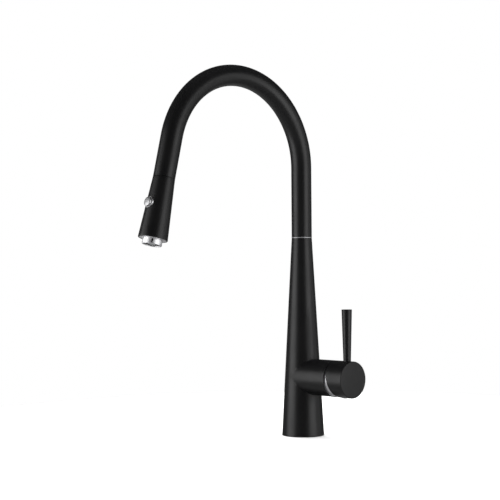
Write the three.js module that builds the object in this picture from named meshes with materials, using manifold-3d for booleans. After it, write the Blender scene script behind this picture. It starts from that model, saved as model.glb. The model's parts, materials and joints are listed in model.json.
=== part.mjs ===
// Pull-down kitchen faucet: a slim conical body with a side valve, a swivelling gooseneck
// spout and a spray head that pulls down on a hose. Millimetres, +Z up. The origin is the
// centre of the base on the deck, the spout reaches towards -Y and the handle sits on +X.
import * as THREE from 'three';
import { mergeVertices } from 'three/addons/utils/BufferGeometryUtils.js';
import Module from 'manifold-3d';

const wasm = await Module();
wasm.setup();

// Fits
const GAP = 0.3; // between two pieces that sit against each other
const RUN = 0.4; // radial, between pieces that turn or slide
const HOSE_PLAY = 1.2; // radial, around the hose
const WIDE_GAP = 0.5; // along the axis, where a part stops short of the next
const PAST = 1; // how far a cutting shape runs past the face it cuts
const FINE = 32; // sides of the large round pieces
const MEDIUM = 20; // sides of the middling ones
const COARSE = 12; // sides of the small ones
const SEAL_SIDES = 6; // corners of a seal's section

// Body
const BASE_R = 26;
const BODY_TOP = 242.7;
const TUBE_R = 12.5;
const TUBE_WALL = 1.2;
const BODY_WALL = 2.6;
const RING_HEIGHT = 1;

// Spout
const SPOUT_RISE = 330; // height at which the tube starts to bend
const BEND_R = 103.6;
const BEND_SWEEP = THREE.MathUtils.degToRad(166.8);
const OUTLET_LEG = 49.1; // straight tube after the bend
const SPOUT_STEPS = 28;
const TUBE_SIDES = 20;

// Swivel joint between body and spout
const NECK_BORE_LENGTH = 39.7;
const BUSH_WALL = 1.5;
const BUSH_LENGTH = 10;
const NIPPLE_WALL = 2;
const NIPPLE_HEAD = 18; // length held inside the spout tube
const NIPPLE_TAIL = 4; // length below the neck bore
const CLIP_THICKNESS = 1.2;
const CLIP_GROOVE_DEPTH = 0.6;
const CLIP_OPENING = THREE.MathUtils.degToRad(60);

// Hose
const HOSE_STEPS = 32;
const HOSE_SIDES = 10;
const HOSE_FOOT = 4; // height of its lower end inside the base
const FERRULE_LENGTH = 19;
const FERRULE_WALL = 0.9;
const HOSE_NUT_FLANGE = 7.7;
const HOSE_NUT_SHANK = 16.3;
const HOSE_NUT_BORE_R = 3;
const HOSE_SEAL_R = 0.9;

// Spray head, measured along its axis from the seam with the spout tube
const HEAD_LENGTH = 70.6;
const HEAD_END_R = 16.8;
const HEAD_WALL = 2;
const RIM_EDGE = 0.8;
const DOCK_BUSH_LENGTH = 15.4;
const DOCK_BUSH_WALL = 1.6;
const DOCK_LENGTH = 8.5; // how far the head's neck goes up into the spout
const NECK_WALL = 2.2;
const PASSAGE_R = 4;
const CHECK_VALVE_LENGTH = 8.5;
const CHECK_VALVE_LAND = 2;
const CHECK_VALVE_WAIST = 1; // depth of the waist between its lands
const MIX_WALL = 4; // between the button's hole and the outlet chamber
const CORE_SHORT = 3; // how far the core stops behind the end plate
const SEAL_LEDGE = 2.5; // width of the ledge that the aerator's seal sits on
const BUTTON_AT = 31.6;
const BUTTON_R = 5.3;
const BUTTON_PROUD = 3.5;
const BUTTON_SHOULDER = 2.4; // where the drum turns into the dome
const BUTTON_DEPTH = 3.2;
const BUTTON_TRAVEL = 1.8;
const CROWN_STEPS = 4;
const BEZEL_WALL = 0.7;
const BEZEL_PROUD = 0.5;
const SPOOL_R = 2;
const SPOOL_LENGTH = 18.5;
const SPRING_ROOM = 4.8; // depth of the pocket behind the button
const SPRING_WIRE_R = 0.35;
const SPRING_CLEAR = 0.9; // between the spring and the spool
const SPRING_TURNS = 3;
const SPRING_STEPS = 10; // in each turn
const SPRING_SIDES = 4;
const AERATOR_R = 11.2;
const AERATOR_WALL = 1.6;
const AERATOR_PROUD = 6.5;
const AERATOR_HELD = 10; // length screwed into the head
const NOSE_EDGE = 0.6;
const NOTCH_WIDTH = 1.8;
const NOTCH_HEIGHT = 4.8;
const NOTCH_LIP = 0.9; // metal left below each notch
const NOTCHES = 4;
const NOTCH_TURN = THREE.MathUtils.degToRad(38); // of the first notch from the head's side
const END_PLATE_THICKNESS = 2.6;
const END_PLATE_RIM = 1.2; // shell wall left around the plate
const STREAM_R = 4.6; // stream insert in the middle of the spray nozzles
const STREAM_PROUD = 0.4;
const STREAM_SHORT = 4; // how far the insert starts below the aerator's top
const NOZZLES = 10;
const NOZZLE_R = 0.8;
const NOZZLE_PROUD = 0.6;
const NOZZLE_SIDES = 6;
const NOZZLE_SET_BACK = 1.2; // of the disc's face inside the nose
const NOZZLE_DISC_THICKNESS = 4;

// Valve, measured along +X from the body's axis
const VALVE_Z = 72.2;
const BARREL_END = 56.5;
const BARREL_EDGE = 0.3;
const BARREL_LIP = 2.2; // wall around the nut
const NUT_RECESS = 10.5;
const CARTRIDGE_R = 17.5; // a standard 35 mm mixer cartridge
const CARTRIDGE_LENGTH = 21.5;
const CARTRIDGE_WALL = 2.5;
const CARTRIDGE_BASE = 3;
const CARTRIDGE_ROOF = 1.5;
const CARTRIDGE_STEP = 4; // from its full radius in to its neck
const CARTRIDGE_NECK_LENGTH = 9;
const CARTRIDGE_NECK_WALL = 2.3;
const CARRIER_FLANGE = 2.9;
const PIVOT_RISE = 5; // of the stem's pivot beyond the cartridge's shoulder
const PIVOT_PIN_R = 1.5;
const PIVOT_PIN_INSET = 1.1;
const DISC_THICKNESS = 3;
const DISC_TRAVEL = 4.2;
const DISC_ROOM = 2.4; // left around the moving disc at the end of its travel
const DISC_HOLLOW_R = 6.2;
const DISC_HOLLOW_DEPTH = 1.8;
const DISC_HOLLOW_DROP = 2.9;
const COUPLER_INSET = 1;
const STEM_SIZE = 6.6;
const STEM_COVER = 6.8; // metal of the handle beyond the stem's end
const STEM_TAIL = 5; // of the square, behind the pivot
const STEM_DRIVE = 11; // from the pivot to the ball that drives the disc
const STEM_BALL_R = 2.3;
const STEM_SHANK_R = 1.8;
const STEM_SWING = 6.2; // half height of the slot that the stem swings in
const NUT_STEP = 2; // of the nut's thread beyond the cartridge
const NUT_FLANGE = 4.7;
const NUT_COLLAR = 3.5;
const SKIRT_WALL = 1.3;
const DOME_WALL = 1.5;
const DOME_FLANGE = 1.2; // how far its flange reaches over the barrel's lip
const DOME_FLANGE_THICKNESS = 0.6;
const DOME_PROUD = 5.5; // of the dome's rim beyond the barrel

// Water ways
const INLET_TUBE_R = 4;
const INLET_TUBE_WALL = 1.4;
const INLET_WEB = 0.9; // of metal between two tube holes
const TUBE_FOOT = 1.5; // height of the tubes' lower ends above the deck
const TUBE_SOCKET_DROP = 12; // from the valve axis down to the tops of the tube sockets
const BLOCK_CLEAR = 0.2; // radial, more than the cartridge leaves
const PORT_R = 2.6;
const PORT_Y = 6.5;
const INLET_PORT_RISE = 3.5;
const OUTLET_PORT_DROP = 8.5;
const PORT_SEAL_R = 0.85;
const PORT_SEAL_MID_R = 3.4;

// Base
const GASKET_THICKNESS = 2.6;
const GASKET_WIDTH = 1.8;
const FLANGE_THICKNESS = 8;
const SPIGOT_DROP = 0.9; // how far the flange reaches down inside the gasket
const SPIGOT_WALL = 1.1; // around the holes nearest its edge
const STUD_HOLE_R = 3.6;
const STUD_TURN = THREE.MathUtils.degToRad(138.8); // of each stud from +X

// Handle
const CAP_LENGTH = 27.8;
const CAP_WALL = 1.4;
const CAP_EDGE = 1;
const CAP_CLEAR = 0.5; // from the barrel to the handle's square rear
const CAP_SLANT_CLEAR = 4.1; // from the barrel to the slanted rear, on the axis
const CAP_SLANT = THREE.MathUtils.degToRad(14.7);
const CAP_ROOM = 6; // beyond the dome, inside the handle
const HUB_R = 7;
const HUB_CLEAR = 2; // beyond the dome
const LEVER_INSET = 9.6;
const LEVER_BASE_R = 4.5;
const LEVER_TOP_R = 6.2;
const LEVER_TOP = 83.4; // above the valve axis
const LEVER_EDGE = 0.4;
const LEVER_TENON_R = 3.5;
const LEVER_TENON = 8;
const PLUG_INSET = 13.8;
const PLUG_R = 3.8;
const PLUG_FACE_R = 2.66;
const PLUG_PROUD = 0.7;
const PLUG_DEPTH = 3;
const SCREW_R = 2;
const SCREW_LENGTH = 12;

// Finishes
const finish = (color, roughness, metalness) =>
  new THREE.MeshStandardMaterial({ color, roughness, metalness });
const BLACK = () => finish(0x1c1c1d, 0.45, 0.3);
const CHROME = () => finish(0xd5d7da, 0.08, 1);
const BRASS = () => finish(0xb99a58, 0.35, 1);
const STEEL = () => finish(0x9a9ca0, 0.35, 1);
const CERAMIC = () => finish(0xeeece6, 0.3, 0);
const WHITE_PLASTIC = () => finish(0xdcdcd8, 0.5, 0);
const GREY_PLASTIC = () => finish(0x5b5e62, 0.5, 0);
const RUBBER = () => finish(0x161616, 0.8, 0);
const BRAID = () => finish(0x8d9094, 0.4, 0.8);

// Geometry into a manifold-3d solid, and back.
function toSolid(geometry) {
  const plain = geometry.clone();
  plain.deleteAttribute('normal');
  plain.deleteAttribute('uv');
  const merged = mergeVertices(plain, 1e-4);
  const corners = merged.index.array;
  const triVerts = [];
  for (let i = 0; i < corners.length; i += 3) {
    const [a, b, c] = [corners[i], corners[i + 1], corners[i + 2]];
    if (a !== b && b !== c && c !== a) triVerts.push(a, b, c);
  }
  const vertProperties = new Float32Array(merged.attributes.position.array);
  return new wasm.Manifold(
    new wasm.Mesh({ numProp: 3, vertProperties, triVerts: new Uint32Array(triVerts) }),
  );
}

function toGeometry(solid) {
  const mesh = solid.getMesh();
  const geometry = new THREE.BufferGeometry();
  geometry.setAttribute('position', new THREE.BufferAttribute(mesh.vertProperties, 3));
  geometry.setIndex(new THREE.BufferAttribute(mesh.triVerts, 1));
  return geometry;
}

function cut(body, ...tools) {
  let solid = toSolid(body);
  for (const tool of tools) solid = solid.subtract(toSolid(tool));
  return toGeometry(solid);
}

function join(...bodies) {
  let solid = toSolid(bodies[0]);
  for (const body of bodies.slice(1)) solid = solid.add(toSolid(body));
  return toGeometry(solid);
}

// A round solid about Z from its half section, given as [radius, height] corners that run
// anticlockwise with the radius to the right: from axis to axis, or closed on itself.
function turned(corners, sides = MEDIUM) {
  const points = corners.map(([radius, height]) => new THREE.Vector2(radius, height));
  return new THREE.LatheGeometry(points, sides).rotateX(Math.PI / 2);
}

function rod(radius, from, to, sides = MEDIUM) {
  return turned([[0, from], [radius, from], [radius, to], [0, to]], sides);
}

function ring(inner, outer, from, to, sides = MEDIUM) {
  return turned([[inner, from], [outer, from], [outer, to], [inner, to], [inner, from]], sides);
}

// A round seal: a torus about Z whose section is a small polygon.
function seal(middle, radius, height, sides = COARSE) {
  const section = [];
  for (let i = 0; i < SEAL_SIDES; i += 1) {
    const turn = (i / SEAL_SIDES) * 2 * Math.PI;
    section.push([middle + radius * Math.cos(turn), height + radius * Math.sin(turn)]);
  }
  section.push(section[0]);
  return turned(section, sides);
}

// Shapes made about Z are laid along the valve's axis with this.
const alongX = (geometry) => geometry.rotateY(Math.PI / 2).translate(0, 0, VALVE_Z);

// The spout's centre line: up, over and down towards -Y. Every piece that follows it takes
// its own start height and its own length past the end of the bend.
class SpoutLine extends THREE.Curve {
  constructor(start, leg) {
    super();
    this.rise = SPOUT_RISE - start;
    this.start = start;
    this.bend = BEND_R * BEND_SWEEP;
    this.length = this.rise + this.bend + leg;
  }

  getPoint(t) {
    const run = t * this.length;
    if (run <= this.rise) return new THREE.Vector3(0, 0, this.start + run);
    const turn = Math.min((run - this.rise) / BEND_R, BEND_SWEEP);
    const past = Math.max(run - this.rise - this.bend, 0);
    const y = -BEND_R * (1 - Math.cos(turn)) - past * Math.sin(BEND_SWEEP);
    const z = SPOUT_RISE + BEND_R * Math.sin(turn) + past * Math.cos(BEND_SWEEP);
    return new THREE.Vector3(0, y, z);
  }
}

function circle(radius) {
  const shape = new THREE.Shape();
  shape.absarc(0, 0, radius, 0, 2 * Math.PI, false);
  return shape;
}

function alongPath(shape, extrudePath, steps, sides) {
  return new THREE.ExtrudeGeometry(shape, { steps, extrudePath, curveSegments: sides / 2 });
}

const faucet = new THREE.Group();
const valve = new THREE.Group();
const seam = new SpoutLine(0, OUTLET_LEG).getPoint(1);
const head = new THREE.Group();
head.position.copy(seam);
head.rotation.x = BEND_SWEEP; // the head's own +Z runs down the outlet and its +Y faces front
faucet.add(valve, head);

function place(group, name, geometry, material) {
  const mesh = new THREE.Mesh(geometry, material);
  mesh.name = name;
  group.add(mesh);
  return mesh;
}

// ---- Body -------------------------------------------------------------------------------

const bodyTaper = (BASE_R - TUBE_R) / BODY_TOP;
const cavityRadius = (height) => BASE_R - bodyTaper * height - BODY_WALL;
const neckBoreR = TUBE_R - TUBE_WALL;
const neckBoreStart = BODY_TOP - NECK_BORE_LENGTH;
const nippleR = neckBoreR - BUSH_WALL - 2 * GAP;
const hoseR = nippleR - NIPPLE_WALL - HOSE_PLAY;
const waterwayStart = hoseR + HOSE_PLAY;
const waterwayR = CARTRIDGE_R - BLOCK_CLEAR;
const cartridgeEnd = BARREL_END - NUT_RECESS;
const cartridgeStart = cartridgeEnd - CARTRIDGE_LENGTH;
const barrelBoreR = CARTRIDGE_R + GAP;
const nutThreadR = CARTRIDGE_R + NUT_STEP;
const nutBoreR = nutThreadR + GAP;
const barrelR = nutBoreR + BARREL_LIP;
const domeFlangeR = nutBoreR + DOME_FLANGE;
const domeFlangeStart = BARREL_END - DOME_FLANGE_THICKNESS;

function bodyShell() {
  const cone = turned([[0, 0], [BASE_R, 0], [TUBE_R, BODY_TOP], [0, BODY_TOP]], FINE);
  const barrel = alongX(turned([
    [0, 0],
    [barrelR, 0],
    [barrelR, BARREL_END - BARREL_EDGE],
    [barrelR - BARREL_EDGE, BARREL_END],
    [0, BARREL_END],
  ], FINE));
  const cavity = turned([
    [0, -PAST],
    [cavityRadius(-PAST), -PAST],
    [cavityRadius(neckBoreStart), neckBoreStart],
    [neckBoreR, neckBoreStart],
    [neckBoreR, BODY_TOP + PAST],
    [0, BODY_TOP + PAST],
  ], FINE);
  const cartridgeBore = alongX(rod(barrelBoreR, waterwayStart - GAP, cartridgeEnd + PAST, FINE));
  const nutBore = alongX(rod(nutBoreR, cartridgeEnd, BARREL_END + PAST, FINE));
  const domeSeat = alongX(rod(domeFlangeR + GAP, domeFlangeStart - GAP, BARREL_END + PAST, FINE));
  return cut(join(cone, barrel), cavity, cartridgeBore, nutBore, domeSeat);
}

const gasketOuter = cavityRadius(GASKET_THICKNESS) - GAP;
const gasketInner = gasketOuter - GASKET_WIDTH;
const flangeBottom = GASKET_THICKNESS + GAP;
const flangeTop = flangeBottom + FLANGE_THICKNESS;
const spigotR = gasketInner - GAP;
const spigotBottom = flangeBottom - SPIGOT_DROP;
const tubeHoleR = INLET_TUBE_R + GAP;
const tubePitchR = spigotR - SPIGOT_WALL - tubeHoleR;
const studPitchR = spigotR - SPIGOT_WALL - STUD_HOLE_R;
const inletTurn = 2 * Math.asin((2 * tubeHoleR + INLET_WEB) / (2 * tubePitchR));
const onPitch = (radius, turn) => [radius * Math.cos(turn), radius * Math.sin(turn)];
const tubePlaces = {
  hot_inlet_tube: onPitch(tubePitchR, inletTurn),
  cold_inlet_tube: onPitch(tubePitchR, -inletTurn),
  mixed_outlet_tube: onPitch(tubePitchR, 0),
};

// A hole through the flange at [x, y].
const flangeHole = (radius, [x, y], sides) =>
  rod(radius, spigotBottom - PAST, flangeTop + PAST, sides).translate(x, y, 0);

// The plate that takes the fixing studs. Its spigot stands inside the rubber gasket.
function deckFlange() {
  const plateR = cavityRadius(flangeTop) - GAP;
  const plate = turned([
    [0, spigotBottom],
    [spigotR, spigotBottom],
    [spigotR, flangeBottom],
    [plateR, flangeBottom],
    [plateR, flangeTop],
    [0, flangeTop],
  ], FINE);
  const holes = [flangeHole(hoseR + HOSE_PLAY + GAP, [0, 0], MEDIUM)];
  for (const place of Object.values(tubePlaces)) holes.push(flangeHole(tubeHoleR, place, COARSE));
  for (const turn of [-STUD_TURN, STUD_TURN]) {
    holes.push(flangeHole(STUD_HOLE_R, onPitch(studPitchR, turn), COARSE));
  }
  return cut(plate, ...holes);
}

const socketTop = VALVE_Z - TUBE_SOCKET_DROP;
const tubeTop = socketTop - GAP;
const seatX = cartridgeStart - WIDE_GAP;
const ports = [
  [PORT_Y, INLET_PORT_RISE],
  [-PORT_Y, INLET_PORT_RISE],
  [0, -OUTLET_PORT_DROP],
];

// A hole parallel to the valve's axis at each port.
const portHoles = (from, to, radius = PORT_R) =>
  ports.map(([y, rise]) => alongX(rod(radius, from, to, COARSE)).translate(0, y, rise));

function waterwayBlock() {
  const block = alongX(rod(waterwayR, waterwayStart, seatX, FINE));
  const bottom = VALVE_Z - waterwayR - PAST;
  const tools = [];
  Object.values(tubePlaces).forEach(([x, y], i) => {
    const [, rise] = ports[i];
    tools.push(rod(tubeHoleR, bottom, socketTop, COARSE).translate(x, y, 0));
    tools.push(rod(PORT_R, bottom, VALVE_Z + rise, COARSE).translate(x, y, 0));
    tools.push(alongX(rod(PORT_R, x, seatX + PAST, COARSE)).translate(0, ports[i][0], rise));
  });
  return cut(block, ...tools);
}

place(faucet, 'body_shell', bodyShell(), BLACK());
const gasket = ring(gasketInner, gasketOuter, 0, GASKET_THICKNESS, FINE);
place(faucet, 'base_gasket', gasket, RUBBER());
place(faucet, 'deck_flange', deckFlange(), BRASS());
place(faucet, 'waterway_block', waterwayBlock(), BRASS());
for (const [name, [x, y]] of Object.entries(tubePlaces)) {
  const bore = INLET_TUBE_R - INLET_TUBE_WALL;
  const tube = ring(bore, INLET_TUBE_R, TUBE_FOOT, tubeTop, COARSE).translate(x, y, 0);
  place(faucet, name, tube, BRASS());
}

// ---- Cartridge --------------------------------------------------------------------------

const chamberR = CARTRIDGE_R - CARTRIDGE_WALL;
const chamberStart = cartridgeStart + CARTRIDGE_BASE;
const chamberEnd = cartridgeEnd - CARTRIDGE_ROOF;
const neckOuterR = CARTRIDGE_R - CARTRIDGE_STEP;
const carrierBoreR = neckOuterR - CARTRIDGE_NECK_WALL;
const carrierR = carrierBoreR - GAP;
const pivotX = cartridgeEnd + PIVOT_RISE;
const neckEnd = cartridgeEnd + CARTRIDGE_NECK_LENGTH;
const fixedDiscStart = chamberStart + GAP;
const movingDiscStart = fixedDiscStart + DISC_THICKNESS + GAP;
const couplerStart = movingDiscStart + DISC_THICKNESS + GAP;
const carrierStart = chamberEnd - CARRIER_FLANGE - GAP;
const couplerEnd = carrierStart - 2 * GAP;
const movingDiscR = chamberR - DISC_TRAVEL / 2 - DISC_ROOM;
const sealRecess = 2 * PORT_SEAL_R + GAP;

function cartridgeHousing() {
  const outside = turned([
    [0, cartridgeStart],
    [CARTRIDGE_R, cartridgeStart],
    [CARTRIDGE_R, cartridgeEnd],
    [neckOuterR, cartridgeEnd],
    [neckOuterR, neckEnd],
    [0, neckEnd],
  ], FINE);
  const inside = turned([
    [0, chamberStart],
    [chamberR, chamberStart],
    [chamberR, chamberEnd],
    [carrierBoreR, chamberEnd],
    [carrierBoreR, neckEnd + PAST],
    [0, neckEnd + PAST],
  ]);
  const through = portHoles(cartridgeStart - PAST, chamberStart + PAST);
  const recessR = PORT_SEAL_MID_R + PORT_SEAL_R + GAP;
  const recessEnd = cartridgeStart + sealRecess;
  const recesses = portHoles(cartridgeStart - PAST, recessEnd, recessR);
  return cut(alongX(outside), alongX(inside), ...through, ...recesses);
}

function fixedDisc() {
  const end = fixedDiscStart + DISC_THICKNESS;
  const disc = alongX(rod(chamberR - RUN, fixedDiscStart, end));
  return cut(disc, ...portHoles(fixedDiscStart - PAST, end + PAST));
}

const skirtInner = nutThreadR - SKIRT_WALL;
const collarR = skirtInner - RUN;
const capBoreR = barrelR - CAP_WALL;
const domeR = capBoreR - RUN;
const domeEnd = BARREL_END + DOME_PROUD;

function cartridgeNut() {
  const start = cartridgeEnd + GAP;
  const inner = neckOuterR + RUN;
  const flangeEnd = start + NUT_FLANGE;
  return alongX(turned([
    [inner, start],
    [nutThreadR, start],
    [nutThreadR, flangeEnd],
    [collarR, flangeEnd],
    [collarR, flangeEnd + NUT_COLLAR],
    [inner, flangeEnd + NUT_COLLAR],
    [inner, start],
  ], FINE));
}

// The bright dome that shows between barrel and handle: a skirt that presses over the nut's
// collar, a flange let into the barrel's end, then part of a sphere about the stem's pivot,
// so the handle tilts around it.
function trimDome() {
  const skirtStart = cartridgeEnd + GAP + NUT_FLANGE + GAP;
  const arc = (radius, from, to, steps) => {
    const points = [];
    for (let i = 0; i <= steps; i += 1) {
      const x = from + ((to - from) * i) / steps;
      points.push([Math.sqrt(radius ** 2 - (x - pivotX) ** 2), x]);
    }
    return points;
  };
  const inside = domeR - DOME_WALL;
  const innerFrom = pivotX + Math.sqrt(inside ** 2 - skirtInner ** 2);
  return alongX(turned([
    [skirtInner, skirtStart],
    [nutThreadR, skirtStart],
    [nutThreadR, domeFlangeStart],
    [domeFlangeR, domeFlangeStart],
    [domeFlangeR, BARREL_END],
    ...arc(domeR, BARREL_END, domeEnd, 3),
    ...arc(inside, domeEnd, innerFrom, 2),
    [skirtInner, skirtStart],
  ], FINE));
}

place(valve, 'cartridge_housing', cartridgeHousing(), GREY_PLASTIC());
place(valve, 'fixed_disc', fixedDisc(), CERAMIC());
place(valve, 'cartridge_nut', cartridgeNut(), BRASS());
place(valve, 'trim_dome', trimDome(), CHROME());
['hot_port_seal', 'cold_port_seal', 'outlet_port_seal'].forEach((name, i) => {
  const height = cartridgeStart + PORT_SEAL_R;
  const [y, rise] = ports[i];
  const shape = alongX(seal(PORT_SEAL_MID_R, PORT_SEAL_R, height)).translate(0, y, rise);
  place(valve, name, shape, RUBBER());
});

// The disc that slides on the fixed one, with the hollow that joins inlets to outlet.
const discRest = -DISC_TRAVEL / 2;

function movingDisc() {
  const end = movingDiscStart + DISC_THICKNESS;
  const disc = alongX(rod(movingDiscR, movingDiscStart, end)).translate(0, 0, discRest);
  const hollowEnd = movingDiscStart + DISC_HOLLOW_DEPTH;
  const hollow = alongX(rod(DISC_HOLLOW_R, movingDiscStart - PAST, hollowEnd));
  return cut(disc, hollow.translate(0, 0, discRest - DISC_HOLLOW_DROP));
}

const ballX = pivotX - STEM_DRIVE;

function discCoupler() {
  const radius = movingDiscR - COUPLER_INSET;
  const round = alongX(rod(radius, couplerStart, couplerEnd)).translate(0, 0, discRest);
  const width = 2 * (STEM_BALL_R + RUN);
  const floor = ballX - STEM_BALL_R - GAP;
  const depth = couplerEnd + PAST - floor;
  const pocket = new THREE.BoxGeometry(depth, width, width);
  return cut(round, pocket.translate(floor + depth / 2, 0, VALVE_Z));
}

const pinHoleR = PIVOT_PIN_R + GAP;
const acrossY = (geometry, x) => geometry.rotateX(Math.PI / 2).translate(x, 0, VALVE_Z);

function leverCarrier() {
  const end = neckEnd - WIDE_GAP;
  const round = alongX(turned([
    [0, carrierStart],
    [chamberR - RUN, carrierStart],
    [chamberR - RUN, carrierStart + CARRIER_FLANGE],
    [carrierR, carrierStart + CARRIER_FLANGE],
    [carrierR, end],
    [0, end],
  ]));
  const length = end - carrierStart + 2 * PAST;
  const slot = new THREE.BoxGeometry(length, STEM_SIZE + 2 * GAP, 2 * STEM_SWING);
  slot.translate((carrierStart + end) / 2, 0, VALVE_Z);
  const pinHole = acrossY(rod(pinHoleR, -carrierR - PAST, carrierR + PAST, COARSE), pivotX);
  return cut(round, slot, pinHole);
}

const pinReach = carrierR - PIVOT_PIN_INSET;
place(valve, 'moving_disc', movingDisc(), CERAMIC());
place(valve, 'disc_coupler', discCoupler(), WHITE_PLASTIC());
place(valve, 'lever_carrier', leverCarrier(), WHITE_PLASTIC());
const pin = acrossY(rod(PIVOT_PIN_R, -pinReach, pinReach, COARSE), pivotX);
place(valve, 'pivot_pin', pin, STEEL());

// ---- Handle -----------------------------------------------------------------------------

const capRear = BARREL_END + CAP_CLEAR;
const slantX = BARREL_END + CAP_SLANT_CLEAR;
const capEnd = capRear + CAP_LENGTH;
const leverX = capEnd - LEVER_INSET;
const plugX = capEnd - PLUG_INSET;
const stemEnd = capEnd - STEM_COVER;

function valveStem() {
  const squareStart = pivotX - STEM_TAIL;
  const ball = new THREE.SphereGeometry(STEM_BALL_R, 10, 6).translate(ballX, 0, VALVE_Z);
  const shank = alongX(rod(STEM_SHANK_R, ballX, squareStart + PAST, COARSE));
  const square = new THREE.BoxGeometry(stemEnd - squareStart, STEM_SIZE, STEM_SIZE);
  square.translate((stemEnd + squareStart) / 2, 0, VALVE_Z);
  const pinHole = acrossY(rod(pinHoleR, -STEM_SIZE, STEM_SIZE, COARSE), pivotX);
  return cut(join(ball, shank, square), pinHole);
}

const fromBelow = (geometry, x) => geometry.rotateX(Math.PI).translate(x, 0, VALVE_Z);

// A cup over the dome. Its rear is cut square above the axis and slants away below it, so
// the handle can tilt, and its hub holds the square stem.
function handleCap() {
  const hubStart = domeEnd + HUB_CLEAR;
  const ceiling = domeEnd + CAP_ROOM;
  const cup = alongX(turned([
    [0, hubStart],
    [HUB_R, hubStart],
    [HUB_R, ceiling],
    [capBoreR, ceiling],
    [capBoreR, capRear - PAST],
    [barrelR, capRear - PAST],
    [barrelR, capEnd - CAP_EDGE],
    [barrelR - CAP_EDGE, capEnd],
    [0, capEnd],
  ], FINE));
  const reach = 4 * barrelR;
  const square = new THREE.BoxGeometry(reach, reach, reach);
  square.translate(capRear - reach / 2, 0, VALVE_Z);
  const slanted = new THREE.BoxGeometry(reach, reach, reach);
  slanted.translate(-reach / 2, 0, 0).rotateY(-CAP_SLANT).translate(slantX, 0, VALVE_Z);
  const socketFrom = hubStart - PAST;
  const socketTo = stemEnd + GAP;
  const width = STEM_SIZE + 2 * GAP;
  const socket = new THREE.BoxGeometry(socketTo - socketFrom, width, width);
  socket.translate((socketTo + socketFrom) / 2, 0, VALVE_Z);
  const seat = (radius, depth) => rod(radius + GAP, barrelR - depth - GAP, barrelR + PAST, COARSE);
  const leverHole = seat(LEVER_TENON_R, LEVER_TENON).translate(leverX, 0, VALVE_Z);
  const plugHole = fromBelow(seat(PLUG_R, PLUG_DEPTH), plugX);
  const screwHole = fromBelow(rod(SCREW_R + GAP, 0, barrelR, COARSE), plugX);
  return cut(cup, square, slanted, socket, leverHole, plugHole, screwHole);
}

function lever() {
  const foot = barrelR + GAP;
  return turned([
    [0, barrelR - LEVER_TENON],
    [LEVER_TENON_R, barrelR - LEVER_TENON],
    [LEVER_TENON_R, foot],
    [LEVER_BASE_R, foot],
    [LEVER_TOP_R, LEVER_TOP - LEVER_EDGE],
    [LEVER_TOP_R - LEVER_EDGE, LEVER_TOP],
    [0, LEVER_TOP],
  ]).translate(leverX, 0, VALVE_Z);
}

function indexPlug() {
  const face = barrelR + PLUG_PROUD;
  return fromBelow(turned([
    [0, barrelR - PLUG_DEPTH],
    [PLUG_R, barrelR - PLUG_DEPTH],
    [PLUG_R, barrelR],
    [PLUG_FACE_R, face],
    [0, face],
  ], COARSE), plugX);
}

function setScrew() {
  const tip = STEM_SIZE / 2 + GAP;
  return fromBelow(rod(SCREW_R, tip, tip + SCREW_LENGTH, COARSE), plugX);
}

place(valve, 'valve_stem', valveStem(), STEEL());
place(valve, 'handle_cap', handleCap(), BLACK());
place(valve, 'lever', lever(), BLACK());
place(valve, 'index_plug', indexPlug(), CHROME());
place(valve, 'set_screw', setScrew(), STEEL());

// ---- Swivel and spout -------------------------------------------------------------------

const ringBottom = BODY_TOP + GAP;
const tubeBottom = ringBottom + RING_HEIGHT + GAP;
const bushInner = nippleR + GAP;
const bushOuter = neckBoreR - GAP;
const nippleBottom = neckBoreStart - NIPPLE_TAIL;
const clipTop = neckBoreStart - 2 * GAP;
const grooveR = nippleR - CLIP_GROOVE_DEPTH;

// The pipe that joins the spout to the body: brazed into the tube, turning in two bushes.
function spoutNipple() {
  const inner = nippleR - NIPPLE_WALL;
  const grooveTop = clipTop + GAP;
  const grooveBottom = clipTop - CLIP_THICKNESS - GAP;
  return turned([
    [inner, nippleBottom],
    [nippleR, nippleBottom],
    [nippleR, grooveBottom],
    [grooveR, grooveBottom],
    [grooveR, grooveTop],
    [nippleR, grooveTop],
    [nippleR, tubeBottom],
    [neckBoreR - GAP, tubeBottom],
    [neckBoreR - GAP, tubeBottom + NIPPLE_HEAD],
    [inner, tubeBottom + NIPPLE_HEAD],
    [inner, nippleBottom],
  ]);
}

// The open ring under the neck bore that keeps the spout from lifting out.
function spoutClip() {
  const opening = CLIP_OPENING / 2;
  const shape = new THREE.Shape();
  const inner = grooveR + GAP;
  const outer = cavityRadius(clipTop) - RUN;
  shape.absarc(0, 0, outer, opening, 2 * Math.PI - opening, false);
  shape.absarc(0, 0, inner, 2 * Math.PI - opening, opening, true);
  const clip = new THREE.ExtrudeGeometry(shape, {
    depth: CLIP_THICKNESS,
    bevelEnabled: false,
    curveSegments: COARSE,
  });
  return clip.translate(0, 0, clipTop - CLIP_THICKNESS);
}

function spoutTube() {
  const section = circle(TUBE_R);
  section.holes.push(circle(neckBoreR));
  const line = new SpoutLine(tubeBottom, OUTLET_LEG - GAP / 2);
  return alongPath(section, line, SPOUT_STEPS, TUBE_SIDES);
}

const upperBush = BODY_TOP - GAP - BUSH_LENGTH;
const lowerBush = neckBoreStart + 2 * GAP;
const swivelRing = ring(bushInner, TUBE_R, ringBottom, ringBottom + RING_HEIGHT, FINE);
const swivelBush = (from) => ring(bushInner, bushOuter, from, from + BUSH_LENGTH);

// The rubber ring between the two bushes, which keeps the spout from swinging freely.
function frictionRing() {
  const height = (upperBush + lowerBush + BUSH_LENGTH) / 2;
  return seal((bushInner + bushOuter) / 2, (bushOuter - bushInner) / 2, height, MEDIUM);
}

function pulloutHose() {
  return alongPath(circle(hoseR), new SpoutLine(HOSE_FOOT, 0), HOSE_STEPS, HOSE_SIDES);
}

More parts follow.
